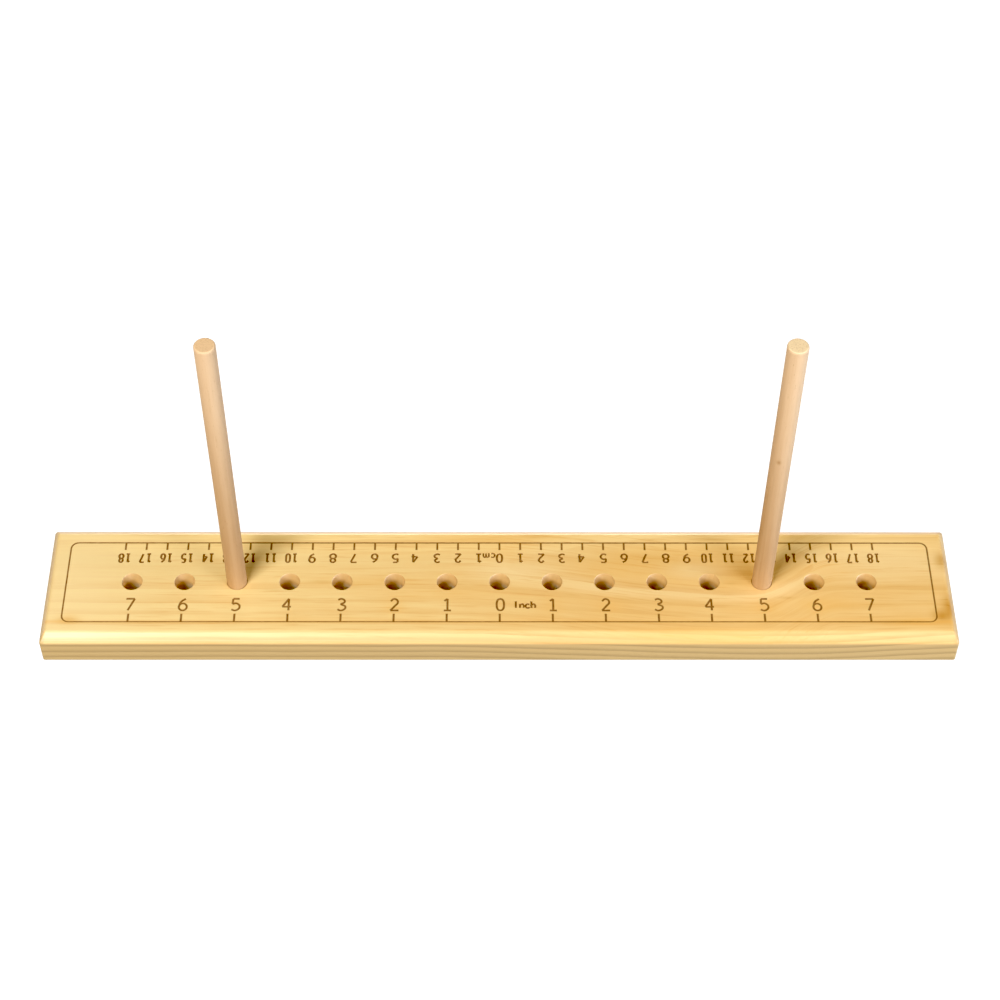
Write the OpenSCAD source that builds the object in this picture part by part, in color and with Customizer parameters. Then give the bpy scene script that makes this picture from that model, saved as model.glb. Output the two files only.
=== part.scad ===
// Winding peg board: a bevelled pine board with a row of drilled peg holes, a burnt inch
// scale along the front, a burnt centimetre scale along the back, and two lift-out dowel pegs.
// Frame: X along the row of holes, Y from the inch scale to the centimetre scale, Z up.
// The origin is the middle of the underside. All sizes are in millimetres.

/* [Board] */
// Width of the board
board_width = 66.5; // [58:0.5:100]
// Thickness of the board
board_thickness = 18; // [15:0.5:30]
// Wood between the middle of the last hole and the end of the board
end_margin = 41; // [34:1:80]
// Height of the bevel round the top
bevel_height = 3.7; // [2:0.1:6]
// Width of the bevel along the front and the back
side_bevel = 4.3; // [2:0.1:6]
// Width of the bevel across the two ends
end_bevel = 2.8; // [2:0.1:6]
// Radius of the eased edges and corners
eased_radius = 1; // [0.4:0.1:1.2]

/* [Peg holes] */
// Spacing of the peg holes, one inch mark each
hole_pitch = 25; // [18:0.5:40]
// Number of holes on each side of the middle one
holes_per_side = 7; // [5:1:10]
// Diameter of a peg hole
hole_diameter = 10; // [7:0.5:13]
// Wood left under a peg hole
hole_floor = 3; // [1.5:0.5:6]

/* [Pegs] */
// Length of a peg from end to end
peg_length = 180; // [120:5:260]
// Gap all round between a peg and its hole
peg_clearance = 0.25; // [0.1:0.05:0.5]
// Steps along the row of holes from the middle one to each peg
peg_steps = 5; // [1:1:5]
// Rounding of a peg's upper end
peg_rounding = 0.9; // [0.4:0.1:2]
// Chamfer of a peg's lower end
peg_chamfer = 1; // [0.5:0.1:2]

/* [Scale lines] */
// Distance from the edge of the board to the border line
border_inset = 9.75; // [8:0.25:12]
// Corner radius of the border line
border_radius = 3.5; // [1.5:0.5:6]
// Width of a burnt line
line_width = 1; // [0.6:0.1:1.4]
// Depth of a burnt line
line_depth = 0.4; // [0.2:0.1:0.8]
// Length of an inch mark
inch_mark = 4.7; // [3:0.1:6]
// Length of a centimetre mark
cm_mark = 4.4; // [3:0.1:6]
// Spacing of the centimetre marks
cm_pitch = 10; // [8:0.5:15]

/* [Hidden] */
$fn = 96;

board_length = 2 * (holes_per_side * hole_pitch + end_margin);
hole_depth = board_thickness - hole_floor;
peg_radius = hole_diameter / 2 - peg_clearance;
border_length = board_length - 2 * border_inset;
border_width = board_width - 2 * border_inset;
// The centimetre scale runs on to the first whole mark past the last hole
cm_per_side = ceil(holes_per_side * hole_pitch / cm_pitch);
// Steps in each eased corner
eased_steps = 4;
// How far a cutter reaches past the face that it cuts
overcut = 1;

pine_colour = [0.93, 0.78, 0.49];
dowel_colour = [0.87, 0.70, 0.51];

function unit(v) = v / norm(v);

// Arc that eases corner b of an outline, between its neighbours a and c
function eased_corner(a, b, c, r) =
    let (
        to_a = unit(a - b),
        to_c = unit(c - b),
        half_angle = acos(to_a * to_c) / 2,
        centre = b + unit(to_a + to_c) * r / sin(half_angle),
        start = b + to_a * r / tan(half_angle) - centre,
        end = b + to_c * r / tan(half_angle) - centre,
        start_angle = atan2(start.y, start.x),
        turn = sign(cross(start, end)) * (180 - 2 * half_angle)
    )
    [for (i = [0 : eased_steps])
        let (angle = start_angle + turn * i / eased_steps)
        centre + r * [cos(angle), sin(angle)]];

// Outline with every corner eased
function eased(outline, r) =
    let (n = len(outline))
    [for (i = [0 : n - 1])
        each eased_corner(outline[(i + n - 1) % n], outline[i], outline[(i + 1) % n], r)];

// Upright section of the board, with the bevel along both upper edges
module bevelled_section(width, bevel) {
    half = width / 2;
    shoulder = board_thickness - bevel_height;
    polygon(eased([
        [-half, 0], [half, 0], [half, shoulder], [half - bevel, board_thickness],
        [bevel - half, board_thickness], [-half, shoulder]
    ], eased_radius));
}

// Plan of the board
module board_plan() {
    half = [board_length, board_width] / 2;
    polygon(eased([[-half.x, -half.y], [half.x, -half.y], half, [-half.x, half.y]], eased_radius));
}

// Solid board: what its plan, its long section and its cross section have in common
module board_blank() {
    intersection() {
        translate([0, 0, -overcut])
            linear_extrude(board_thickness + 2 * overcut) board_plan();
        rotate([90, 0, 0])
            linear_extrude(board_width + 2 * overcut, center = true) bevelled_section(board_length, end_bevel);
        rotate([90, 0, 90])
            linear_extrude(board_length + 2 * overcut, center = true) bevelled_section(board_width, side_bevel);
    }
}

// Flat-bottomed peg hole
module peg_hole() {
    translate([0, 0, hole_floor])
        cylinder(d = hole_diameter, h = hole_depth + overcut);
}

// Rectangle with round corners
module round_rectangle(length, width, r) {
    square([length - 2 * r, width], center = true);
    square([length, width - 2 * r], center = true);
    for (x = [-1, 1], y = [-1, 1])
        translate([x * (length / 2 - r), y * (width / 2 - r)]) circle(r);
}

// Border line with round corners, centred on its inset
module border_line() {
    difference() {
        round_rectangle(border_length + line_width, border_width + line_width, border_radius + line_width / 2);
        round_rectangle(border_length - line_width, border_width - line_width, border_radius - line_width / 2);
    }
}

// Marks that stand on one long side of the border and point at the holes
module scale_marks(side, pitch, per_side, mark) {
    for (i = [-per_side : per_side])
        translate([i * pitch, side * (border_width - mark) / 2])
            square([line_width, mark], center = true);
}

// Shallow grooves of the border and of both scales
module scale_lines() {
    translate([0, 0, board_thickness - line_depth])
        linear_extrude(line_depth + overcut) {
            border_line();
            scale_marks(-1, hole_pitch, holes_per_side, inch_mark);
            scale_marks(1, cm_pitch, cm_per_side, cm_mark);
        }
}

module base_board() {
    color(pine_colour)
        difference() {
            board_blank();
            for (i = [-holes_per_side : holes_per_side])
                translate([i * hole_pitch, 0, 0]) peg_hole();
            scale_lines();
        }
}

// Half section of a peg: chamfered at its foot, rounded at its upper end
module peg_half_section() {
    polygon([
        [0, 0], [peg_radius - peg_chamfer, 0], [peg_radius, peg_chamfer],
        [peg_radius, peg_length - peg_rounding], [0, peg_length - peg_rounding]
    ]);
    translate([0, peg_length - peg_rounding - overcut])
        square([peg_radius - peg_rounding, peg_rounding + overcut]);
    intersection() {
        translate([peg_radius - peg_rounding, peg_length - peg_rounding]) circle(peg_rounding);
        square([peg_radius, peg_length]);
    }
}

// Peg standing on the floor of a numbered hole
module peg(hole_number) {
    color(dowel_colour)
        translate([hole_number * hole_pitch, 0, hole_floor])
            rotate_extrude() peg_half_section();
}

module left_peg() { peg(-peg_steps); }
module right_peg() { peg(peg_steps); }

base_board();
left_peg();
right_peg();
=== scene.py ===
# %% [markdown]
# A graduated peg board, dressed for a picture.
#
# The object is a bevelled softwood board with a row of fifteen blind holes, a burnt border,
# an inch scale along the front and a centimetre scale along the back, and two loose dowels
# that stand in any two of the holes. The packed CAD model is loaded first as a fixed frame.
# Everything below is made in that frame, in metres, so no piece has to be fitted by eye.

# %% Load the frame and keep its box
from math import cos, pi, radians, sin
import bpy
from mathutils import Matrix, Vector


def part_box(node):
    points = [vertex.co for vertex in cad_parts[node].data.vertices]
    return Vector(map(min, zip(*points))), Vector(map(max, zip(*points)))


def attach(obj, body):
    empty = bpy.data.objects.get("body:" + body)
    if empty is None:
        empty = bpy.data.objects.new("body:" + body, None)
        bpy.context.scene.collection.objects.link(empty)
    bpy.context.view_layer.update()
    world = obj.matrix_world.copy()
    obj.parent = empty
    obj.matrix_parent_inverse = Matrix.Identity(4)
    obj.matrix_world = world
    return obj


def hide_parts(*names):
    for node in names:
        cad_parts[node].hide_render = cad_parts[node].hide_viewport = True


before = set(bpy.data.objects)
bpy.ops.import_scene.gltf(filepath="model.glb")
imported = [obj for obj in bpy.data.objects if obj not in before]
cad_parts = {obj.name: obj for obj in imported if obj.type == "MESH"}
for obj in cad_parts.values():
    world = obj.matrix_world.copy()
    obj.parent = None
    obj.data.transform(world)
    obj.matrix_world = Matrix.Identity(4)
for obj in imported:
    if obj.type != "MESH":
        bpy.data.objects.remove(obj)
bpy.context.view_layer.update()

from types import SimpleNamespace

import bmesh
import bpy
from mathutils import Matrix, Quaternion, Vector

MM = 0.001

# %% [markdown]
# The camera comes first, because every later choice is judged through it. Its place was
# fitted to the scale marks, the border and the two dowels of the photograph. It looks down
# at about 51 degrees from a good metre away. An ordinary track quaternion turns it to its
# aim, and half a degree of roll follows the slight tilt of the picture.

# %% Camera
CAMERA_EYE = Vector((-6.73, -655.35, 887.38)) * MM
CAMERA_AIM = Vector((0.00634, 0.63013, -0.77647))
CAMERA_ROLL = radians(0.476)
LENS_LENGTH = 82.16
SENSOR_WIDTH = 36.0


def add_object(name, data):
    """Links a new object with this data to the scene."""
    made = bpy.data.objects.new(name, data)
    bpy.context.scene.collection.objects.link(made)
    return made


camera_data = bpy.data.cameras.new("photo_camera")
camera_data.lens = LENS_LENGTH
camera_data.sensor_width = SENSOR_WIDTH
camera = add_object("photo_camera", camera_data)
turn = CAMERA_AIM.to_track_quat("-Z", "Y") @ Quaternion((0.0, 0.0, 1.0), CAMERA_ROLL)
camera.matrix_world = Matrix.LocRotScale(CAMERA_EYE, turn, None)
bpy.context.scene.camera = camera
print("camera stands", round(CAMERA_EYE.length, 3), "m from the middle of the underside")

# %% [markdown]
# The photograph has soft lamps in front, and their places can be read from it: the shadows of
# the two dowels are not parallel, so each lamp stands where its shadow lines meet, and the
# dark wedge low in every hole gives its height. The left lamp is the strong one. On the right
# a small far lamp draws the second shadow, and a broad near one darkens only the foot of each
# dowel. A low cool lamp tints the right sides of the dowels, and a low lamp behind the board
# lights the faces that the photograph hides.

# %% Lamps
BOARD_TOP = 18.0
BOARD_MIDDLE = Vector((0.0, 0.0, BOARD_TOP)) * MM
WHITE = (1.0, 1.0, 1.0)
PALE_BLUE = (0.92, 0.95, 1.0)
BLUE = (0.59, 0.75, 1.0)
PALE_GOLD = (1.0, 0.9, 0.75)
# Each row has a name, a place, a width and a height in mm, a power in watts and a colour
LAMPS = [
    ("left_lamp", (-640.0, -900.0, 961.0), 680.0, 680.0, 24.0, WHITE),
    ("right_lamp", (900.0, -880.0, 880.0), 380.0, 380.0, 5.0, PALE_BLUE),
    ("near_lamp", (453.0, -391.0, 336.0), 800.0, 500.0, 2.1, PALE_BLUE),
    ("side_lamp", (1100.0, -250.0, 120.0), 220.0, 220.0, 8.0, BLUE),
    ("back_lamp", (0.0, 1900.0, 125.0), 900.0, 200.0, 26.0, PALE_GOLD),
]


def add_lamp(name, place, width, height, watts, colour):
    """A soft box aimed at the middle of the board."""
    data = bpy.data.lights.new(name, "AREA")
    data.shape = "RECTANGLE"
    data.size = width * MM
    data.size_y = height * MM
    data.energy = watts
    data.color = colour
    lamp = add_object(name, data)
    lamp.visible_camera = False
    spot = Vector(place) * MM
    turned = (spot - BOARD_MIDDLE).to_track_quat("Z", "Y")
    lamp.matrix_world = Matrix.LocRotScale(spot, turned, None)
    return lamp


lamps = [add_lamp(*row) for row in LAMPS]
print("lamps:", [lamp.name for lamp in lamps])

# %% [markdown]
# The rest of the room is a faint warm glow that fills the shadows. The view is Standard, since
# a film curve would grey the clean yellow of the wood, and a black level gives it the
# photograph's deep shadows.

# %% World and view
WORLD_COLOUR = (1.0, 0.66, 0.28, 1.0)
WORLD_STRENGTH = 0.08
BLACK_LEVEL = 0.08

world = bpy.data.worlds.new("studio")
bpy.context.scene.world = world
world.use_nodes = True
background = world.node_tree.nodes["Background"]
background.inputs["Color"].default_value = WORLD_COLOUR
background.inputs["Strength"].default_value = WORLD_STRENGTH
view = bpy.context.scene.view_settings
view.view_transform = "Standard"
view.use_curve_mapping = True
view.curve_mapping.black_level = (BLACK_LEVEL, BLACK_LEVEL, BLACK_LEVEL)
view.curve_mapping.update()
print("world strength:", WORLD_STRENGTH, "view:", view.view_transform)

# %% [markdown]
# The floor is plain, pale and luminous like a light table, so it stays white far back, where
# the lamps would leave a plain sheet grey. It is kept out of the bounced light, because the
# upright faces in the photograph get little light from below.

# %% Floor
FLOOR_HALF = 12.0
FLOOR_LOOK = {
    "Base Color": (0.15, 0.15, 0.15, 1.0),
    "Roughness": 0.9,
    "Emission Color": (1.0, 1.0, 1.0, 1.0),
    "Emission Strength": 1.0,
}

floor_mesh = bpy.data.meshes.new("floor")
bm = bmesh.new()
bmesh.ops.create_grid(bm, x_segments=1, y_segments=1, size=FLOOR_HALF)
bm.to_mesh(floor_mesh)
bm.free()
floor_paint = bpy.data.materials.new("pale_floor")
floor_paint.use_nodes = True
floor_shader = floor_paint.node_tree.nodes["Principled BSDF"]
for socket, value in FLOOR_LOOK.items():
    floor_shader.inputs[socket].default_value = value
floor_mesh.materials.append(floor_paint)
floor = add_object("floor", floor_mesh)
floor.visible_diffuse = False
print("floor reaches", FLOOR_HALF, "m each way")

# %% [markdown]
# Node trees are easier to read as sums. The class below wraps one socket, so that
# 1 - mask or x * x + y * y adds the Math nodes by itself. Every other node comes from its
# one method, which takes the type, the settings and the values or links of the sockets.


# %% A socket that does arithmetic
class Wire:
    """One output socket of a material. Operators on it add Math nodes to the material."""

    def __init__(self, tree, socket=None):
        self.tree = tree
        self.socket = socket

    def node(self, kind, settings, values, out=0):
        """Adds any node: its settings first, then the values or links of its sockets."""
        made = self.tree.nodes.new(kind)
        for key, setting in settings.items():
            setattr(made, key, setting)
        for key, value in values.items():
            if isinstance(value, Wire):
                self.tree.links.new(value.socket, made.inputs[key])
            else:
                made.inputs[key].default_value = value
        return Wire(self.tree, made.outputs[out])

    def math(self, operation, *values):
        """Adds one Math node over the values."""
        return self.node("ShaderNodeMath", {"operation": operation}, dict(enumerate(values)))

    def __add__(self, other):
        return self.math("ADD", self, other)

    def __radd__(self, other):
        return self.math("ADD", other, self)

    def __sub__(self, other):
        return self.math("SUBTRACT", self, other)

    def __rsub__(self, other):
        return self.math("SUBTRACT", other, self)

    def __mul__(self, other):
        return self.math("MULTIPLY", self, other)

    def __rmul__(self, other):
        return self.math("MULTIPLY", other, self)

    def __truediv__(self, other):
        return self.math("DIVIDE", self, other)

    def __pow__(self, other):
        return self.math("POWER", self, other)

    def __abs__(self):
        return self.math("ABSOLUTE", self)

    def at_least(self, other):
        """The larger of this value and the other."""
        return self.math("MAXIMUM", self, other)

    def fraction(self):
        """What is left of this value past its last whole number."""
        return self.math("FRACT", self)

    def decay(self):
        """1 where this value is 0, and soon nothing as it grows."""
        return self.math("EXPONENT", self * -1.0)

    def ramp(self, low, high):
        """Smoothly 0 below low and 1 above high."""
        return self.node(
            "ShaderNodeMapRange",
            {"interpolation_type": "SMOOTHSTEP"},
            {"Value": self, "From Min": low, "From Max": high},
        )

    def mix(self, first, second):
        """The first colour where this value is 0, the second where it is 1."""
        return self.node(
            "ShaderNodeMix", {"data_type": "RGBA"}, {0: self, 6: first, 7: second}, out=2
        )

    def noise(self, stretch, detail=2.0, rough=0.5, shift=(0.0, 0.0, 0.0)):
        """Noise from 0 to 1 over a place in mm, with stretch cells to the mm along each axis."""
        place = self.node("ShaderNodeVectorMath", {"operation": "ADD"}, {0: self, 1: shift})
        place = self.node(
            "ShaderNodeVectorMath", {"operation": "MULTIPLY"}, {0: place, 1: stretch}
        )
        return self.node(
            "ShaderNodeTexNoise",
            {"noise_dimensions": "3D"},
            {"Vector": place, "Scale": 1.0, "Detail": detail, "Roughness": rough},
        )


print("wire methods:", [name for name in vars(Wire) if not name.startswith("_")])

# %% [markdown]
# Every wood starts and ends in the same way. It reads the place on its piece in millimetres,
# so that sizes in the formulas are sizes on the bench, and it closes with a shallow bump and
# one Principled shader.

# %% Start and end of a material
BUMP_DEPTH = 0.03 * MM


def new_material(name):
    """An empty material, and the place on its piece in mm as a wire."""
    made = bpy.data.materials.new(name)
    made.use_nodes = True
    made.node_tree.nodes.clear()
    start = Wire(made.node_tree)
    place = start.node("ShaderNodeTexCoord", {}, {}, out="Object")
    place = start.node(
        "ShaderNodeVectorMath", {"operation": "MULTIPLY"}, {0: place, 1: (1 / MM, 1 / MM, 1 / MM)}
    )
    return made, place


def split(place):
    """The three coordinates of a place, as wires."""
    parts = place.node("ShaderNodeSeparateXYZ", {}, {0: place})
    outputs = parts.socket.node.outputs
    return [Wire(place.tree, outputs[axis]) for axis in "XYZ"]


def finish_material(made, look, height):
    """Adds the Bump node, the Principled shader and the output."""
    start = Wire(made.node_tree)
    bump = {"Height": height, "Distance": BUMP_DEPTH, "Strength": 1.0}
    normal = start.node("ShaderNodeBump", {}, bump)
    shader = start.node("ShaderNodeBsdfPrincipled", {}, {**look, "Normal": normal})
    output = made.node_tree.nodes.new("ShaderNodeOutputMaterial")
    made.node_tree.links.new(shader.socket, output.inputs["Surface"])
    print(made.name, "has", len(made.node_tree.nodes), "nodes")


print("bump depth in mm:", BUMP_DEPTH / MM)

# %% [markdown]
# Pine is a solid: the same growth rings run through the top, the bevels and the ends. This
# board was sawn below the heart of the tree, so its rings are shells round a line above it.
# The top cuts them at a low angle, which spreads each one into a broad soft band. The front
# cuts them steeply and shows lines. Past the middle the rings dip and rise again, steeply on
# top and slowly on the front, and there the bands on top close in a long arch. One formula
# gives all of this: the distance to the heart line, bent along the board and by slow noise.

# %% Growth rings
HEART_SIDE = 11.0
HEART_HEIGHT = 63.0
FIRST_RING = 44.04
RING_STEP = 3.4
LATE_STARTS = (0.30, 0.95)
LATE_ENDS = (0.955, 1.0)
# Each bend has a start and an end along the board, and a height
DIP = (-45.0, 125.0, 5.0)
TOP_RISE = (118.0, 160.0, 4.6)
FRONT_RISE = (140.0, 230.0, 4.0)
FRONT_TO_TOP = (-33.0, -4.0)
SWAY = {"stretch": (0.006, 0.03, 0.03), "detail": 2.0}
SWAY_HEIGHT = 1.5
RIPPLE = {"stretch": (0.026, 0.11, 0.11), "detail": 3.0, "shift": (40.0, 7.0, 0.0)}
RIPPLE_HEIGHT = 1.2


def rise(x, start, end, height):
    """A smooth step along the board."""
    return x.ramp(start, end) * height


def growth_rings(place, x, y, z):
    """The bent distance of a place from the heart line, and the dark late wood of its ring."""
    inward = y.ramp(*FRONT_TO_TOP)
    bend = rise(x, *TOP_RISE) * inward + rise(x, *FRONT_RISE) * (1.0 - inward) - rise(x, *DIP)
    across = (y - HEART_SIDE) * (y - HEART_SIDE)
    upward = (z - HEART_HEIGHT) * (z - HEART_HEIGHT)
    sway = (place.noise(**SWAY) - 0.5) * SWAY_HEIGHT
    ripple = (place.noise(**RIPPLE) - 0.5) * RIPPLE_HEIGHT
    shell = (across + upward) ** 0.5 + bend + sway + ripple
    ring = ((shell - FIRST_RING) / RING_STEP).fraction()
    late = ring.ramp(*LATE_STARTS) * (1.0 - ring.ramp(*LATE_ENDS))
    return shell, late


print("rings are", RING_STEP, "mm apart, round a line", HEART_HEIGHT - BOARD_TOP, "mm above the top")

# %% [markdown]
# Between the rings the wood shows fine streaks. They are noise drawn out along the board, over
# a coordinate that leans with the grain, so that they follow the arch. Broad streaks, short
# dark dashes and hair-fine fibres each have their own noise, and two more, which do not lean,
# make the figure patchy and give it a slight curl.

# %% Grain
LEANS = [(-20.0, 120.0, 15.0), (120.0, 162.0, -19.0)]
BEVEL_STARTS = (17.2, 17.8)
PATCH = {"stretch": (0.010, 0.05, 0.05), "detail": 2.0, "shift": (7.0, 0.0, 30.0)}
PATCH_EDGE = (0.35, 0.65)
CURL = {"stretch": (0.05, 0.12, 0.12), "detail": 2.0, "shift": (11.0, 3.0, 0.0)}
STREAK = {"stretch": (0.012, 0.30, 0.30), "detail": 3.0, "shift": (0.0, 50.0, 9.0)}
DASH = {"stretch": (0.035, 0.95, 0.95), "detail": 3.0, "rough": 0.6, "shift": (3.0, 0.0, 5.0)}
DASH_EDGE = (0.52, 0.72)
FIBRE = {"stretch": (0.05, 2.6, 2.6), "detail": 2.0}


def pine_figure(place):
    """Every wire that the look of pine is mixed from, under one name."""
    x, y, z = split(place)
    shell, late = growth_rings(place, x, y, z)
    leaning = y
    for lean in LEANS:
        leaning = leaning + rise(x, *lean)
    grain = place.node("ShaderNodeCombineXYZ", {}, {"X": x, "Y": leaning, "Z": z})
    return SimpleNamespace(
        place=place,
        x=x,
        y=y,
        z=z,
        shell=shell,
        late=late,
        bevel=1.0 - z.ramp(*BEVEL_STARTS),
        patch=place.noise(**PATCH).ramp(*PATCH_EDGE),
        curl=place.noise(**CURL) - 0.5,
        streak=grain.noise(**STREAK) - 0.5,
        dash=grain.noise(**DASH).ramp(*DASH_EDGE),
        fibre=grain.noise(**FIBRE) - 0.5,
    )


print("the grain leans by", [lean[2] for lean in LEANS], "mm along the board")

# %% [markdown]
# The planed wood turns from pale to gold along the board. Right of the middle lies an amber
# heart with a pale rim of sapwood, and the bevel shows more gold. The back edge is painted
# brighter and warmer, as painted light, since the lamps stand in front and fade toward the back.
# Each step lays one more colour over the last through a mask, as a painter glazes.

# %% Ground colours of the planed wood
SAP_AND_LIGHT_PINE = (0.935, 0.743, 0.41, 1.0)
PALE_PINE = (0.862, 0.651, 0.314, 1.0)
BACK_LIT_PINE = (1.0, 0.745, 0.34, 1.0)
GOLD_PINE = (0.80, 0.513, 0.21, 1.0)
AMBER_PINE = (0.83, 0.465, 0.14, 1.0)
PALE_TO_GOLD = (-200.0, 90.0)
WARM_ALONG = 0.75
WARM_STREAKS = 0.8
WARM_CURL = 0.5
HEART_SHELLS = (41.6, 44.0)
HEART_STARTS = (-20.0, 45.0)
HEART_ENDS = (112.0, 140.0)
HEART_SHARE = 0.24
HEART_DASHES = 0.4
SAP_SHELL = 44.4
SAP_REACH = 1.3
SAP_STARTS = (-30.0, 15.0)
SAP_SHARE = 0.4
SAP_DASHES = 0.3
BACK_LIGHT_EDGE = (12.0, 26.0)
BACK_LIGHT_SHARE = 0.6
RIGHT_HALF = (-30.0, 40.0)
RIGHT_GOLD = 0.14
BEVEL_GOLD = 0.35


def ground_colour(wood):
    """The colour of planed pine without its late wood."""
    warm = wood.x.ramp(*PALE_TO_GOLD) * WARM_ALONG + wood.streak * WARM_STREAKS
    warm = warm + wood.curl * WARM_CURL
    colour = warm.at_least(0.0).mix(PALE_PINE, GOLD_PINE)
    heart = (1.0 - wood.shell.ramp(*HEART_SHELLS)) * wood.x.ramp(*HEART_STARTS)
    heart = heart * (1.0 - wood.x.ramp(*HEART_ENDS))
    colour = (heart * (HEART_SHARE + wood.dash * HEART_DASHES)).mix(colour, AMBER_PINE)
    off = (wood.shell - SAP_SHELL) / SAP_REACH
    rim = (off * off).decay() * wood.x.ramp(*SAP_STARTS)
    colour = (rim * (SAP_SHARE - wood.dash * SAP_DASHES)).mix(colour, SAP_AND_LIGHT_PINE)
    # The back edge is painted brighter: painted light where the lamps fade.
    colour = (wood.y.ramp(*BACK_LIGHT_EDGE) * BACK_LIGHT_SHARE).mix(colour, BACK_LIT_PINE)
    gold = wood.bevel * BEVEL_GOLD + wood.x.ramp(*RIGHT_HALF) * RIGHT_GOLD
    return gold.mix(colour, GOLD_PINE)


print("amber heart from", HEART_STARTS[0], "to", HEART_ENDS[1], "mm along the board")

# %% [markdown]
# The late wood of each ring is darker, and it shows most on the bevel, which cuts the rings
# more steeply. Dashes, streaks and fibres darken the wood in the same way, so one sum gathers
# them and one mix lays them on.

# %% Late wood
LATE_PINE = (0.70, 0.40, 0.149, 1.0)
LATE_SHARE = 0.10
LATE_PATCHES = 0.3
LATE_BEVEL = 0.4
DARK_BEVEL = 0.12
DARK_DASHES = 0.42
DARK_STREAKS = 0.5
DARK_FIBRES = 0.3


def figured(wood, colour):
    """Lays the late wood and the grain over a colour."""
    dark = wood.late * (LATE_SHARE + wood.patch * LATE_PATCHES + wood.bevel * LATE_BEVEL)
    dark = dark + wood.bevel * DARK_BEVEL + wood.dash * DARK_DASHES
    dark = dark + wood.streak * DARK_STREAKS + wood.fibre * DARK_FIBRES
    return dark.at_least(0.0).mix(colour, LATE_PINE)


print("late wood takes", LATE_SHARE, "to", LATE_SHARE + LATE_PATCHES, "of the top")

# %% [markdown]
# No board is even, so soft spots of sapwood, amber and scorch are laid over the figure. Some
# spots are painted light and shade instead: a painted shadow beside the right dowel with paler
# wood round it, painted shade behind that dowel and on the front bevel, and painted shade on
# the end bevels. A painted picture could do this too, but a short list is sharp at any size and
# easy to change. The grain breaks each spot up, so that none looks like an airbrush.

# %% Spots
STAIN_AND_SHADOW_TINT = (0.52, 0.24, 0.05, 1.0)
# Each spot has a centre along and across the board, a reach each way in mm and a strength
PALE_SPOTS = [
    (-212.0, 0.0, 38.0, 90.0, 0.7),
    (132.0, -6.0, 14.0, 5.0, 0.25),
    (8.0, 7.0, 20.0, 4.0, 0.4),
    (188.0, 19.0, 22.0, 6.0, 0.3),
    # This spot is painted light beside the shadow of the right dowel.
    (93.0, 7.0, 14.0, 6.0, 0.6),
]
AMBER_SPOTS = [
    (-6.0, 27.0, 34.0, 4.0, 0.55),
    (3.0, 17.0, 12.0, 6.0, 0.35),
    (88.0, 13.0, 18.0, 6.0, 0.15),
    (155.0, 7.0, 14.0, 5.0, 0.3),
    (199.0, -24.0, 16.0, 2.6, 0.7),
    # The two spots 215 mm out are painted shade that tones down the end bevels under the lamps.
    (215.0, 0.0, 2.0, 60.0, 0.5),
    (-215.0, 0.0, 2.0, 60.0, 0.3),
    (-203.0, -22.0, 5.0, 3.0, 0.45),
    # This spot is painted shade on the front bevel, where its sheen fades.
    (95.0, -31.0, 42.0, 4.0, 0.7),
    (158.0, -13.0, 16.0, 4.0, 0.35),
    (-25.0, -7.0, 26.0, 4.0, 0.25),
    (-65.0, 0.5, 30.0, 2.5, 0.25),
    (25.0, -15.0, 5.0, 5.0, 0.25),
    (52.0, -15.0, 6.0, 4.0, 0.35),
    (127.0, -17.0, 7.0, 5.0, 0.3),
    (150.0, -15.0, 7.0, 4.0, 0.3),
    (-50.0, -15.0, 5.0, 4.0, 0.3),
    # This spot is painted shade that warms the shadow behind the right dowel.
    (140.0, 27.0, 16.0, 5.0, 0.35),
]
STAINS_AND_SHADOW = [
    (213.0, -15.0, 3.4, 7.0, 1.0),
    (208.5, -20.0, 4.0, 3.4, 1.0),
    (212.5, 13.0, 3.4, 4.5, 0.85),
    (188.0, -23.6, 18.0, 1.2, 0.45),
    (-203.0, -22.8, 5.0, 1.8, 0.35),
    # This spot is a painted shadow of the right dowel.
    (118.5, 7.5, 6.0, 6.0, 0.22),
    (17.0, 27.0, 6.0, 1.0, 0.35),
    (105.0, 25.6, 9.0, 0.8, 0.35),
    (136.0, -9.2, 4.0, 0.7, 0.3),
    (110.0, -1.0, 3.0, 0.6, 0.3),
    (-107.0, -5.0, 6.0, 0.8, 0.25),
    (-85.0, 0.0, 6.0, 1.0, 0.25),
]
SPOT_LAYERS = [(SAP_AND_LIGHT_PINE, PALE_SPOTS), (AMBER_PINE, AMBER_SPOTS), (STAIN_AND_SHADOW_TINT, STAINS_AND_SHADOW)]
SPOT_WANDER = 2.0
SPOT_SHARE = 0.7
SPOT_DASHES = 0.6


def blob(x, y, centre_x, centre_y, reach_x, reach_y):
    """A soft spot that is 1 at its centre and fades within its reach."""
    along = (x - centre_x) / reach_x
    across = (y - centre_y) / reach_y
    return (along * along + across * across).decay()


def spotted(wood, colour):
    """Lays the listed spots over a colour."""
    patchy = SPOT_SHARE + wood.dash * SPOT_DASHES
    wandering = wood.y + wood.streak * SPOT_WANDER
    for tint, spots in SPOT_LAYERS:
        for *spot, strength in spots:
            colour = (blob(wood.x, wandering, *spot) * patchy * strength).mix(colour, tint)
    return colour


print("spots:", [len(spots) for tint, spots in SPOT_LAYERS])

# %% [markdown]
# The sides and ends are sawn and not planed. They are duller, and the rings show as lines, and
# their colour is painted darker than the top, as painted shade on the upright faces. The planed
# gold is painted a little over the lower rounded edge of the bevel, as a painted soft highlight
# that makes the edge look soft. The foot of the bevel is darker toward the left, and along the
# front line of the border the wood is singed.

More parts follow.
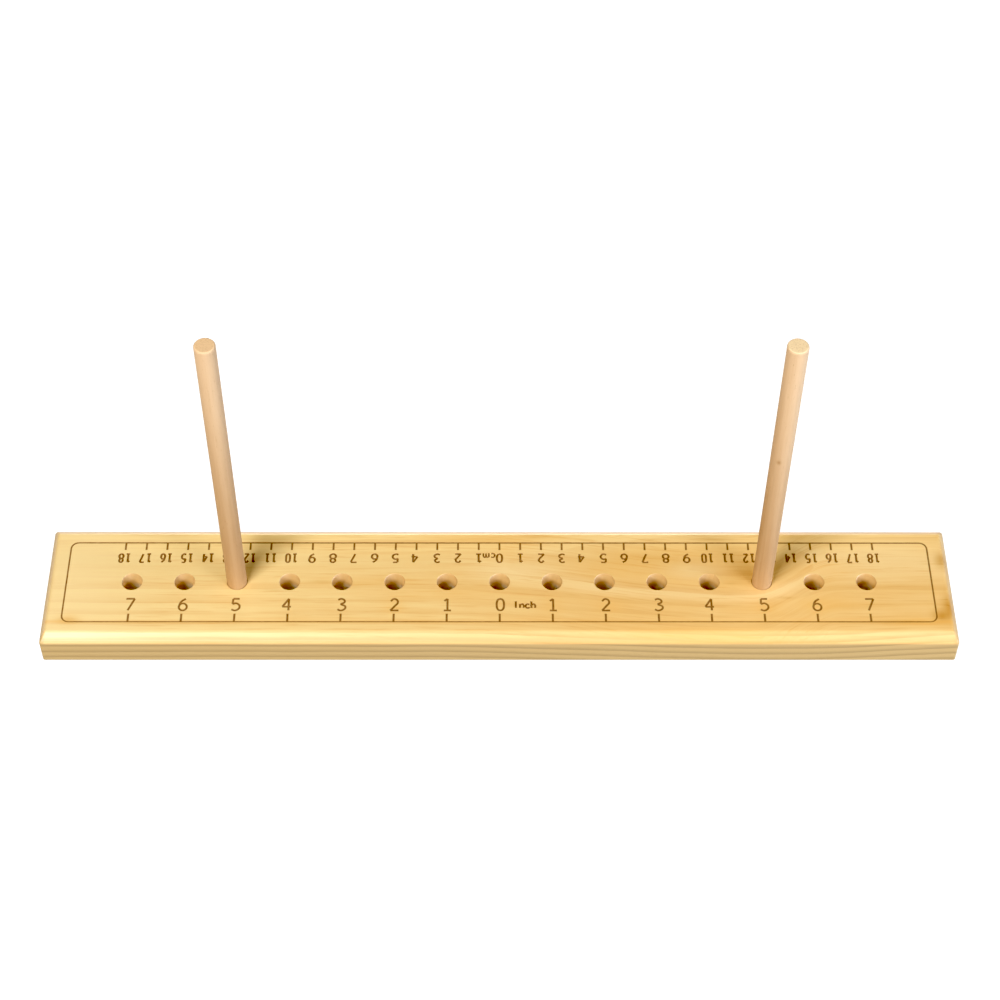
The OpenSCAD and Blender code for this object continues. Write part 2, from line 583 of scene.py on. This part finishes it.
# %% Edges and sides
BORDER_HALF = (206.25, 23.5)
SINGED_REACH = 1.1
SINGED_SHARE = 0.35
FOOT_PINE = (0.66, 0.455, 0.19, 1.0)
FOOT_STARTS = (14.2, 14.8)
FOOT_ENDS = (15.2, 16.4)
FOOT_FADES = (0.0, 140.0)
FOOT_SHARE = 0.75
LIT_EDGE_BAND = (13.8, 14.8)
LIT_EDGE_SHARE = 0.4
SHADED_SIDE_PINE = (0.597, 0.424, 0.203, 1.0)
SHADED_SIDE_LATE = (0.442, 0.307, 0.15, 1.0)
SIDE_STARTS = (32.6, 33.2)
SIDE_TOP = (12.4, 14.4)
END_STARTS = (215.3, 215.9)
END_GRAIN_AND_SHADE = (212.8, 215.4)
END_SHARE = 0.5
SAWN_RINGS = 0.9
SAWN_FIBRES = 0.5


def edged(wood, colour):
    """Lays singed line, bevel foot, sides and ends over a colour, and tells where it is sawn."""
    singed = (wood.y + BORDER_HALF[1]) / SINGED_REACH
    colour = ((singed * singed).decay() * SINGED_SHARE).mix(colour, AMBER_PINE)
    foot = wood.z.ramp(*FOOT_STARTS) * (1.0 - wood.z.ramp(*FOOT_ENDS))
    foot = foot * (1.0 - wood.x.ramp(*FOOT_FADES))
    colour = (foot * FOOT_SHARE).mix(colour, FOOT_PINE)
    # The band below the bevel is painted in the planed gold: a painted soft highlight on the rounded
    # edge.
    lit_edge = 1.0 - wood.z.ramp(*LIT_EDGE_BAND)
    colour = (lit_edge * LIT_EDGE_SHARE).mix(colour, GOLD_PINE)
    # The end bevels are darkened: partly their end grain, partly painted shade where the lamps light
    # them brightly.
    colour = (abs(wood.x).ramp(*END_GRAIN_AND_SHADE) * END_SHARE).mix(colour, SHADED_SIDE_LATE)
    # The sides get the darker side colours: painted shade on the upright faces.
    side = abs(wood.y).ramp(*SIDE_STARTS) * (1.0 - wood.z.ramp(*SIDE_TOP))
    sawn = side.at_least(abs(wood.x).ramp(*END_STARTS))
    lines = wood.late * SAWN_RINGS + wood.fibre * SAWN_FIBRES
    colour = sawn.mix(colour, lines.at_least(0.0).mix(SHADED_SIDE_PINE, SHADED_SIDE_LATE))
    return colour, sawn


print("sawn sides reach up to", SIDE_TOP[1], "mm")

# %% [markdown]
# A tool leaves its own surface. Burnt lines darken with their depth and lose their sheen.
# Drilled walls are dull. The left side of each wall is painted paler, as painted light from the
# right, and near the floor of the hole the walls are painted paler still, as painted light
# bounced down into it. Both start from planed pine, so the figure of the wood runs on through
# them.

# %% Burnt and drilled pine
CHAR = (0.283, 0.16, 0.077, 1.0)
CHAR_DEPTH = 0.16
SCORCH = {"stretch": (0.7, 0.7, 0.7), "detail": 2.0}
CHAR_SHARE = 0.75
CHAR_SCORCH = 0.4
CHAR_ROUGHER = 0.3
CHAR_COAT = 0.4
CHAR_GLOSS = 0.15
HOLE_PITCH = 25.0
DRILLED = (0.68, 0.468, 0.238, 1.0)
LIT_LEFT_WALL = (0.89, 0.655, 0.39, 1.0)
LIT_LEFT_WALL_FADES = (-4.5, 1.0)
BOUNCE_PALE = (0.97, 0.87, 0.66, 1.0)
BOUNCE_PALE_DEPTH = (6.5, 11.0)
TURNINGS = {"stretch": (0.3, 0.3, 2.5), "detail": 2.0}
DRILLED_SHARE = 0.8
DRILLED_TURNINGS = 0.5
DRILLED_ROUGHER = 0.3
DRILLED_GLOSS = 0.1


def burnt(wood, look, height):
    """Turns the look of planed pine into that of a burnt line."""
    depth = (BOARD_TOP - wood.z).ramp(0.0, CHAR_DEPTH)
    scorch = wood.place.noise(**SCORCH)
    black = depth * (CHAR_SHARE + scorch * CHAR_SCORCH)
    look["Base Color"] = black.mix(look["Base Color"], CHAR)
    look["Roughness"] = look["Roughness"] + depth * CHAR_ROUGHER
    look["Coat Weight"] = (1.0 - depth) * CHAR_COAT
    look["Specular IOR Level"] = CHAR_GLOSS
    return look, height


def drilled(wood, look, height):
    """Turns the look of planed pine into that of a drilled hole, with the marks of the drill."""
    turnings = wood.place.noise(**TURNINGS)
    dull = DRILLED_SHARE + (turnings - 0.5) * DRILLED_TURNINGS
    colour = dull.mix(look["Base Color"], DRILLED)
    # The left side of each wall is painted paler: painted light, as if lit from the right.
    aside = ((wood.x / HOLE_PITCH + 0.5).fraction() - 0.5) * HOLE_PITCH
    colour = (1.0 - aside.ramp(*LIT_LEFT_WALL_FADES)).mix(colour, LIT_LEFT_WALL)
    # Deep in the hole the walls are painted paler: painted light, as if bounced down into it.
    look["Base Color"] = (BOARD_TOP - wood.z).ramp(*BOUNCE_PALE_DEPTH).mix(colour, BOUNCE_PALE)
    look["Roughness"] = look["Roughness"] + DRILLED_ROUGHER
    look["Coat Weight"] = 0.0
    look["Specular IOR Level"] = DRILLED_GLOSS
    return look, turnings


def planed(wood, look, height):
    """Leaves the look of planed pine as it is."""
    return look, height


print("a burnt line is black from", CHAR_DEPTH, "mm down")

# %% [markdown]
# Now the layers come together, once for each tool. Planed pine has a thin coat of wax, and the
# sawn sides have none. One function makes all three, so that they can never drift apart.

# %% Pine
PINE_ROUGHNESS = 0.48
FIBRE_ROUGHNESS = 0.2
PINE_COAT = 0.45
PINE_COAT_ROUGHNESS = 0.4
PINE_GLOSS = 0.4
FIBRE_HEIGHT = 0.5
RING_HEIGHT = 0.4


def pine(name, tool):
    """Pine as one tool leaves it."""
    made, place = new_material(name)
    wood = pine_figure(place)
    colour = figured(wood, ground_colour(wood))
    colour, sawn = edged(wood, spotted(wood, colour))
    look = {
        "Base Color": colour,
        "Roughness": PINE_ROUGHNESS + wood.fibre * FIBRE_ROUGHNESS,
        "Coat Weight": PINE_COAT - sawn * PINE_COAT,
        "Coat Roughness": PINE_COAT_ROUGHNESS,
        "Specular IOR Level": PINE_GLOSS,
    }
    height = wood.fibre * FIBRE_HEIGHT + wood.late * RING_HEIGHT
    finish_material(made, *tool(wood, look, height))
    return made


pine_planed = pine("pine_planed", planed)
pine_burnt = pine("pine_burnt", burnt)
pine_drilled = pine("pine_drilled", drilled)

# %% [markdown]
# The dowels are a close-grained hardwood, pinker and paler than the board. Beech shows short
# dark flecks along its length and a soft streak here and there. The flecks are noise that is
# squeezed across the grain and drawn out along it. Toward the foot the dowels are painted
# darker and warmer, as painted shade where the board is near. The photograph shows them paler
# on the sawn upper end, and with one small knot on the right one.

# %% Dowel wood
PALE_BEECH = (0.695, 0.485, 0.297, 1.0)
WARM_BEECH = (0.495, 0.307, 0.163, 1.0)
END_BEECH = (0.85, 0.60, 0.36, 1.0)
END_PALE = (0.97, 0.765, 0.48, 1.0)
FLECK_BEECH = (0.36, 0.19, 0.085, 1.0)
DOWEL_STREAK = {"stretch": (0.35, 0.35, 0.012), "detail": 3.0}
DOWEL_FIBRE = {"stretch": (3.0, 3.0, 0.06), "detail": 2.0}
FLECK = {"stretch": (2.2, 2.2, 0.35), "detail": 1.0, "shift": (3.0, 0.0, 0.0)}
FLECK_EDGE = (0.68, 0.80)
PORES = {"stretch": (1.6, 1.6, 1.6), "detail": 2.0}
PORES_EDGE = (0.45, 0.75)
FOOT_SHADE_TO_TIP = (30.0, 180.0)
# The knot has a place along the board, a height and two reaches
KNOT = (123.5, 111.7, 0.9, 1.3)
KNOT_FACES_FRONT = (-3.0, 0.0)
LEFT_TO_RIGHT = (-60.0, 60.0)
PEG_TOP = 183.0
END_GRAIN = (PEG_TOP - 0.35, PEG_TOP - 0.05)
BEECH_STREAKS = 0.7
PAINTED_FOOT_SHADE = 0.85
FLECK_SHARE = 0.30
FLECK_FIBRES = 0.4
KNOT_SHARE = 0.6
PORE_SHARE = 0.3
BEECH_ROUGHNESS = 0.66
BEECH_GLOSS = 0.3


def beech(name):
    """Close-grained wood along the sides and paler end grain on the upper end."""
    made, place = new_material(name)
    x, y, z = split(place)
    fibre = place.noise(**DOWEL_FIBRE)
    # low is 1 at the foot and fades toward the tip: it paints shade, darker and warmer near the board.
    low = 1.0 - z.ramp(*FOOT_SHADE_TO_TIP)
    warm = (place.noise(**DOWEL_STREAK) - 0.5) * BEECH_STREAKS + low * PAINTED_FOOT_SHADE
    colour = warm.mix(PALE_BEECH, WARM_BEECH)
    flecks = place.noise(**FLECK).ramp(*FLECK_EDGE) * FLECK_SHARE
    flecks = flecks + (fibre - 0.5).at_least(0.0) * FLECK_FIBRES
    colour = flecks.mix(colour, FLECK_BEECH)
    knot = blob(x, z, *KNOT) * (1.0 - y.ramp(*KNOT_FACES_FRONT))
    colour = (knot * KNOT_SHARE).mix(colour, FLECK_BEECH)
    pores = place.noise(**PORES).ramp(*PORES_EDGE)
    end = x.ramp(*LEFT_TO_RIGHT).mix(END_BEECH, END_PALE)
    end = (pores * PORE_SHARE).mix(end, WARM_BEECH)
    look = {
        "Base Color": z.ramp(*END_GRAIN).mix(colour, end),
        "Roughness": BEECH_ROUGHNESS + (fibre - 0.5) * FIBRE_ROUGHNESS,
        "Specular IOR Level": BEECH_GLOSS,
    }
    finish_material(made, look, fibre)
    return made


beech_wood = beech("beech_dowel")

# %% [markdown]
# The board starts as a block as high as its shoulders. The top face is extruded up from it
# and drawn in, further along the sides than at the ends, which leaves the bevel and its
# four mitres. A small rounded bevel then breaks every edge as sandpaper would.

# %% Board blank
BEVEL_HEIGHT = 3.7 * MM
SIDE_BEVEL = 4.3 * MM
END_BEVEL = 2.8 * MM
EASED_EDGE = 1.0 * MM
EASED_STEPS = 3

board_low, board_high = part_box("base_board")
board_size = board_high - board_low
shoulder = board_size.z - BEVEL_HEIGHT
bm = bmesh.new()
bmesh.ops.create_cube(bm, size=1.0)
bmesh.ops.scale(bm, vec=(board_size.x, board_size.y, shoulder), verts=bm.verts)
bmesh.ops.translate(bm, vec=(0.0, 0.0, shoulder / 2), verts=bm.verts)
upper = [face for face in bm.faces if face.normal.z > 0.5]
raised = bmesh.ops.extrude_face_region(bm, geom=upper)["geom"]
bmesh.ops.delete(bm, geom=upper, context="FACES")
raised = [item for item in raised if isinstance(item, bmesh.types.BMVert)]
bmesh.ops.translate(bm, vec=(0.0, 0.0, BEVEL_HEIGHT), verts=raised)
draw_in = (1 - 2 * END_BEVEL / board_size.x, 1 - 2 * SIDE_BEVEL / board_size.y, 1.0)
bmesh.ops.scale(bm, vec=draw_in, verts=raised)
bmesh.ops.recalc_face_normals(bm, faces=bm.faces)
bmesh.ops.bevel(
    bm,
    geom=bm.edges[:],
    offset=EASED_EDGE,
    affect="EDGES",
    segments=EASED_STEPS,
    profile=0.5,
    material=-1,
)
board_mesh = bpy.data.meshes.new("board_blank")
bm.to_mesh(board_mesh)
bm.free()
board_mesh.materials.append(pine_planed)
board = add_object("graduated_board", board_mesh)
print("blank faces:", len(board_mesh.polygons), "size in mm:", [round(v / MM, 1) for v in board_size])

# %% [markdown]
# The holes are drilled by a Boolean, as on the real board. Each cutter is turned on a lathe:
# half a drill profile is spun once round its axis, with a tiny flare at the mouth that takes
# the sharpness off the rim. A cutter's material stays on what it cuts. The holes are drawn a
# shade tighter than in the solid model, because the photograph shows them so.

# %% Drill
HOLES_PER_SIDE = 7
HOLE_RADIUS = 4.92 * MM
HOLE_FLOOR = 3.0 * MM
RIM_BREAK = 0.06 * MM
ABOVE = 1.0 * MM
ROUND_STEPS = 48
TINY = 0.01 * MM


def spin_round(bm, profile, centre):
    """Spins a profile of (radius, height) points once round an upright axis."""
    points = [bm.verts.new((centre[0] + radius, centre[1], height)) for radius, height in profile]
    edges = [bm.edges.new(pair) for pair in zip(points, points[1:])]
    bmesh.ops.spin(
        bm,
        geom=points + edges,
        cent=(centre[0], centre[1], 0.0),
        axis=(0.0, 0.0, 1.0),
        angle=2 * pi,
        steps=ROUND_STEPS,
        use_merge=True,
    )


def to_object(bm, name, material):
    """Closes a bmesh and makes it an object with one material."""
    bmesh.ops.remove_doubles(bm, verts=bm.verts, dist=TINY)
    bmesh.ops.recalc_face_normals(bm, faces=bm.faces)
    mesh = bpy.data.meshes.new(name)
    bm.to_mesh(mesh)
    bm.free()
    mesh.materials.append(material)
    return add_object(name, mesh)


top = board_high.z
drill_profile = [
    (0.0, HOLE_FLOOR),
    (HOLE_RADIUS, HOLE_FLOOR),
    (HOLE_RADIUS, top - RIM_BREAK),
    (HOLE_RADIUS + RIM_BREAK + ABOVE, top + ABOVE),
    (0.0, top + ABOVE),
]
hole_steps = range(-HOLES_PER_SIDE, HOLES_PER_SIDE + 1)
bm = bmesh.new()
for step in hole_steps:
    spin_round(bm, drill_profile, (step * (HOLE_PITCH * MM), 0.0))
drill = to_object(bm, "drill", pine_drilled)
print("drilled holes:", len(hole_steps), "cutter faces:", len(drill.data.polygons))

# %% [markdown]
# The border, the marks and the figures are burnt with a hot round tip, which leaves a
# half-round groove. A Bezier curve with a round bevel is exactly the shape of such a tip
# drawn along a line, so each stroke is a curve and all of them together are one cutter.
# The figures are drawn as single strokes on a cell one unit high: o starts a closed loop, l
# an open line, and each pair after it is a knot, across and up.

# %% Strokes of the figures
GLYPHS = {
    "0": ["o .3,1 .05,.5 .3,0 .55,.5"],
    "1": ["l .3,0 .3,1", "l .3,1 .08,.82", "l .06,0 .54,0"],
    "2": ["l .04,.8 .28,1 .52,.74 .3,.36 .02,0", "l .02,0 .57,0"],
    "3": ["l .05,.92 .28,1 .5,.77 .22,.54", "l .22,.54 .56,.28 .28,0 .02,.09"],
    "4": ["l .42,1 0,.32", "l 0,.32 .58,.32", "l .42,1 .42,0"],
    "5": ["l .52,1 .1,1", "l .1,1 .07,.55", "l .07,.55 .32,.62 .56,.32 .3,0 .02,.08"],
    "6": ["l .46,1 .16,.74 .03,.31", "o .3,.6 .03,.31 .3,0 .57,.3"],
    "7": ["l .02,1 .58,1", "l .58,1 .18,0"],
    "8": ["o .3,1 .07,.77 .3,.54 .53,.77", "o .3,.54 .02,.27 .3,0 .58,.27"],
    "9": ["o .3,1 .03,.7 .3,.4 .57,.69", "l .57,.69 .45,.24 .15,0"],
    "I": ["l .22,0 .22,1"],
    "n": ["l .05,0 .05,.62", "l .05,.4 .28,.62 .46,.4 .46,0"],
    "c": ["l .48,.52 .28,.62 .03,.31 .28,0 .48,.1"],
    "h": ["l .05,0 .05,1", "l .05,.4 .28,.62 .46,.4 .46,0"],
    "m": ["l .05,0 .05,.62", "l .05,.4 .22,.62 .38,.4 .38,0", "l .38,.4 .55,.62 .7,.4 .7,0"],
}
FIGURE_WIDTH = 0.6
strokes = []


def add_stroke(points, width, depth, closed=False):
    """Keeps one smooth stroke of the tip, with the width and depth of its groove at each knot."""
    strokes.append(([(x, y, width, depth) for x, y in points], closed, True))


def write(text, centre, height, cell, advance, width, depth, upside_down=False):
    """Writes figures round a centre, each cell wide; upside down reads from the back."""
    side = -1.0 if upside_down else 1.0
    start = -(advance * (len(text) - 1) + FIGURE_WIDTH * cell) / 2
    for place, letter in enumerate(text):
        for stroke in GLYPHS[letter]:
            kind, *pairs = stroke.split()
            points = []
            for pair in pairs:
                across, up = (float(value) for value in pair.split(","))
                local_x = start + advance * place + across * cell
                local_y = (up - 0.5) * height
                points.append((centre[0] + side * local_x, centre[1] + side * local_y))
            add_stroke(points, width, depth, closed=kind == "o")


print("figures and letters:", "".join(GLYPHS))

# %% [markdown]
# The inch scale reads from the front and the centimetre scale from the back, so the second one
# is written upside down. Sizes, spacing and the pressure of the tip were measured for each
# scale. Numbers of two figures are narrower, and a 4 stands a little to the left of its mark.

# %% Numbers and unit words
CM_PITCH = 10.0
CM_PER_SIDE = 18
INCH_ROW = -13.5
CM_ROW = 14.25
INCH_ASIDE = 0.3
ASIDE = {"4": -0.9}
INCH_STYLE = {"height": 6.8, "cell": 7.0, "advance": 0.0, "width": 1.3, "depth": 0.30}
CM_STYLE = {"height": 5.0, "advance": 3.2, "width": 1.15, "depth": 0.34, "upside_down": True}
CM_CELLS = {1: 5.0, 2: 3.6}
INCH_WORD_PLACE = (12.0, INCH_ROW)
CM_WORD_PLACE = (-4.7, 15.2)
INCH_WORD = {"height": 3.9, "cell": 4.2, "advance": 2.7, "width": 1.1, "depth": 0.32}
CM_WORD = {"height": 3.9, "cell": 4.0, "advance": 2.8, "width": 0.9, "depth": 0.32, "upside_down": True}

cm_steps = range(-CM_PER_SIDE, CM_PER_SIDE + 1)
for step in hole_steps:
    text = str(abs(step))
    write(text, (step * HOLE_PITCH + INCH_ASIDE + ASIDE.get(text, 0.0), INCH_ROW), **INCH_STYLE)
for step in cm_steps:
    text = str(abs(step))
    middle = step * CM_PITCH + ASIDE.get(text, 0.0)
    write(text, (middle, CM_ROW), cell=CM_CELLS[len(text)], **CM_STYLE)
write("Inch", INCH_WORD_PLACE, **INCH_WORD)
write("cm", CM_WORD_PLACE, **CM_WORD)
print("figure strokes:", len(strokes))

# %% [markdown]
# The border is one closed line with round corners. The tip ran light along the front and was
# pressed harder on the other three sides, so each knot of the line has its own width and
# depth. The marks stand on the border, one for each inch in front and one for each
# centimetre at the back.

# %% Border and marks
BORDER_RADIUS = 3.5
CORNER_STEPS = 6
CORNER_SIGNS = [(1, 1), (-1, 1), (-1, -1), (1, -1)]
# Each groove has a width and a depth
BOLD = (1.05, 0.24)
FINE = (0.88, 0.19)
INCH_GROOVE = (1.3, 0.30)
CM_GROOVE = (1.2, 0.28)
INCH_MARK_END = -18.8
CM_MARK_END = 19.1

border = []
for quarter, (sign_x, sign_y) in enumerate(CORNER_SIGNS):
    corner_x = sign_x * (BORDER_HALF[0] - BORDER_RADIUS)
    corner_y = sign_y * (BORDER_HALF[1] - BORDER_RADIUS)
    for step in range(CORNER_STEPS + 1):
        angle = (quarter + step / CORNER_STEPS) * pi / 2
        x = corner_x + BORDER_RADIUS * cos(angle)
        y = corner_y + BORDER_RADIUS * sin(angle)
        lightness = max(0.0, -sin(angle)) ** 2
        width, depth = (bold + (fine - bold) * lightness for bold, fine in zip(BOLD, FINE))
        border.append((x, y, width, depth))
strokes.append((border, True, False))
for step in hole_steps:
    x = step * HOLE_PITCH
    add_stroke([(x, -BORDER_HALF[1]), (x, INCH_MARK_END)], *INCH_GROOVE)
for step in cm_steps:
    x = step * CM_PITCH
    add_stroke([(x, BORDER_HALF[1]), (x, CM_MARK_END)], *CM_GROOVE)
print("strokes with border and marks:", len(strokes))

# %% [markdown]
# Now the strokes become one cutter. A curve with a round bevel fills the space that a round
# tip sweeps. The circle through the two edges and the bottom of a groove gives the radius of
# the tip and the height of its middle, so a wanted width and depth can be met at every knot.

# %% Hot tip
TIP_STEPS = 3
STROKE_STEPS = 5

tip = bpy.data.curves.new("hot_tip", "CURVE")
tip.dimensions = "3D"
tip.bevel_depth = 1.0 * MM
tip.bevel_resolution = TIP_STEPS
tip.resolution_u = STROKE_STEPS
tip.use_fill_caps = True
for stroke, closed, smooth in strokes:
    spline = tip.splines.new("BEZIER" if smooth else "POLY")
    knots = spline.bezier_points if smooth else spline.points
    knots.add(len(stroke) - 1)
    for knot, (x, y, width, depth) in zip(knots, stroke):
        radius = (width * width / 4 + depth * depth) / (2 * depth)
        spot = (x * MM, y * MM, top + (radius - depth) * MM)
        knot.co = spot if smooth else (*spot, 1.0)
        knot.radius = radius
        if smooth:
            knot.handle_left_type = "AUTO"
            knot.handle_right_type = "AUTO"
    spline.use_cyclic_u = closed


def final_mesh(made):
    """The mesh that an object shows once its curves or modifiers have been worked out."""
    bpy.context.view_layer.update()
    seen = bpy.context.evaluated_depsgraph_get()
    return bpy.data.meshes.new_from_object(made.evaluated_get(seen))


tip_object = add_object("hot_tip_curve", tip)
bm = bmesh.new()
bm.from_mesh(final_mesh(tip_object))
bpy.data.objects.remove(tip_object)
burner = to_object(bm, "burner", pine_burnt)
print("burner faces:", len(burner.data.polygons))

# %% [markdown]
# Two exact Booleans cut the blank, first the holes and then the burnt lines. The strokes may
# overlap each other, so the second one allows for that. The result is kept as a plain mesh,
# and corners that fall within a thousandth of a millimetre of each other are welded.

# %% Cut the board
WELD = 0.001 * MM

for cutter in (drill, burner):
    cut = board.modifiers.new(cutter.name, "BOOLEAN")
    cut.operation = "DIFFERENCE"
    cut.solver = "EXACT"
    cut.object = cutter
    cut.use_self = cutter is burner
    cut.material_mode = "TRANSFER"
    cutter.hide_render = True
cut_mesh = final_mesh(board)
board.modifiers.clear()
board.data = cut_mesh
for cutter in (drill, burner):
    bpy.data.objects.remove(cutter)
bm = bmesh.new()
bm.from_mesh(cut_mesh)
bmesh.ops.remove_doubles(bm, verts=bm.verts, dist=WELD)
bm.to_mesh(cut_mesh)
bm.free()
print("cut board faces:", len(cut_mesh.polygons), "materials:", [m.name for m in cut_mesh.materials])

# %% [markdown]
# Light shows whether a face is flat. Smooth shading alone would bend the light on a broad face
# toward the small rounded edges beside it. Edges past an angle are marked sharp, and weighted
# normals let the broad faces decide.

# %% Even light
SHARP_ANGLE = radians(38)
FLAT_WEIGHT = 90
ROUND_WEIGHT = 50


def even_light(piece, weight):
    """Shades a piece smoothly between its sharp edges. A high weight favours the broad faces."""
    piece.data.shade_smooth()
    piece.data.set_sharp_from_angle(angle=SHARP_ANGLE)
    weigh = piece.modifiers.new("even_light", "WEIGHTED_NORMAL")
    weigh.keep_sharp = True
    weigh.weight = weight


even_light(board, FLAT_WEIGHT)
print("board modifiers:", [modifier.name for modifier in board.modifiers])

# %% [markdown]
# A dowel is a drawn cylinder with the upper end rounded over for the hand and the foot
# chamfered to find its hole. It is made where it stands, so its object stays at the origin,
# and it rides on its own body, so it can be lifted out.

# %% Dowels
PEG_ROUNDING = 0.9 * MM
ROUNDING_STEPS = 4
PEG_CHAMFER = 1.0 * MM
CHAMFER_STEPS = 1


def make_peg(node):
    """A dowel that fills the box of a CAD node, rides on its body and stands in for it."""
    low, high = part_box(node)
    radius = (high.x - low.x) / 2
    bm = bmesh.new()
    bmesh.ops.create_cone(
        bm,
        cap_ends=True,
        segments=ROUND_STEPS,
        radius1=radius,
        radius2=radius,
        depth=high.z - low.z,
        matrix=Matrix.Translation((low + high) / 2),
    )
    ends = [(high.z, PEG_ROUNDING, ROUNDING_STEPS), (low.z, PEG_CHAMFER, CHAMFER_STEPS)]
    for height, offset, segments in ends:
        rim = [e for e in bm.edges if all(abs(v.co.z - height) < TINY for v in e.verts)]
        bmesh.ops.bevel(
            bm, geom=rim, offset=offset, affect="EDGES", segments=segments, profile=0.5, material=-1
        )
    peg = to_object(bm, node + "_dowel", beech_wood)
    even_light(peg, ROUND_WEIGHT)
    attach(peg, node)
    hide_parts(node)
    return peg


pegs = [make_peg(node) for node in ("left_peg", "right_peg")]
print("dowels:", [(peg.name, len(peg.data.polygons)) for peg in pegs])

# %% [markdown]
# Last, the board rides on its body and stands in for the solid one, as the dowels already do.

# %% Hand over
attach(board, "board")
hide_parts("base_board")
